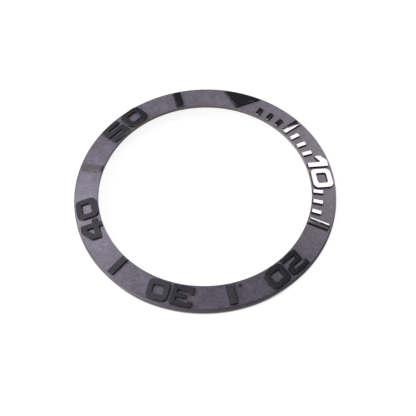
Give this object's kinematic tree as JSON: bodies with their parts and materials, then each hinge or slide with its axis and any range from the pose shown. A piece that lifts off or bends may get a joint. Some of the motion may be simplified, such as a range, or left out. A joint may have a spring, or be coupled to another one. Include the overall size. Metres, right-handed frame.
{
  "type": "rotating watch bezel insert",
  "caption": "Sloped dive-watch bezel insert with raised black minute markers, a flat seat and a peel-off adhesive ring underneath.",
  "frame": {"origin": "centre of the ring on the plane of its seat", "axes": "+Z along the ring's axis towards the dial side, +Y towards the triangle at minute 0, +X towards minute 15"},
  "size_m": [0.038, 0.038, 0.0019],
  "materials": {
    "matte_ceramic": "fine blasted matte face, polished edges",
    "black_marker": "polished gloss",
    "adhesive_foam": "matte",
    "liner_paper": "smooth waxed"
  },
  "bodies": {
    "insert": {"insert_ring": "matte_ceramic", "triangle_marker": "black_marker", "numeral_10_one": "black_marker", "numeral_10_zero": "black_marker", "numeral_20_two": "black_marker", "numeral_20_zero": "black_marker", "numeral_30_three": "black_marker", "numeral_30_zero": "black_marker", "numeral_40_four": "black_marker", "numeral_40_zero": "black_marker", "numeral_50_five": "black_marker", "numeral_50_zero": "black_marker", "baton_05": "black_marker", "baton_15": "black_marker", "baton_25": "black_marker", "baton_35": "black_marker", "baton_45": "black_marker", "baton_55": "black_marker", "minute_tick_02": "black_marker", "minute_tick_03": "black_marker", "minute_tick_04": "black_marker", "minute_tick_06": "black_marker", "minute_tick_07": "black_marker", "minute_tick_08": "black_marker", "minute_tick_12": "black_marker", "minute_tick_13": "black_marker", "minute_tick_14": "black_marker", "adhesive_ring": "adhesive_foam"},
    "liner": {"release_liner": "liner_paper"}
  },
  "joints": [
    {"name": "liner_peel", "type": "slide", "parent": "insert", "child": "liner", "axis": [0, 0, -1], "range_m": [0, 0.008]}
  ]
}
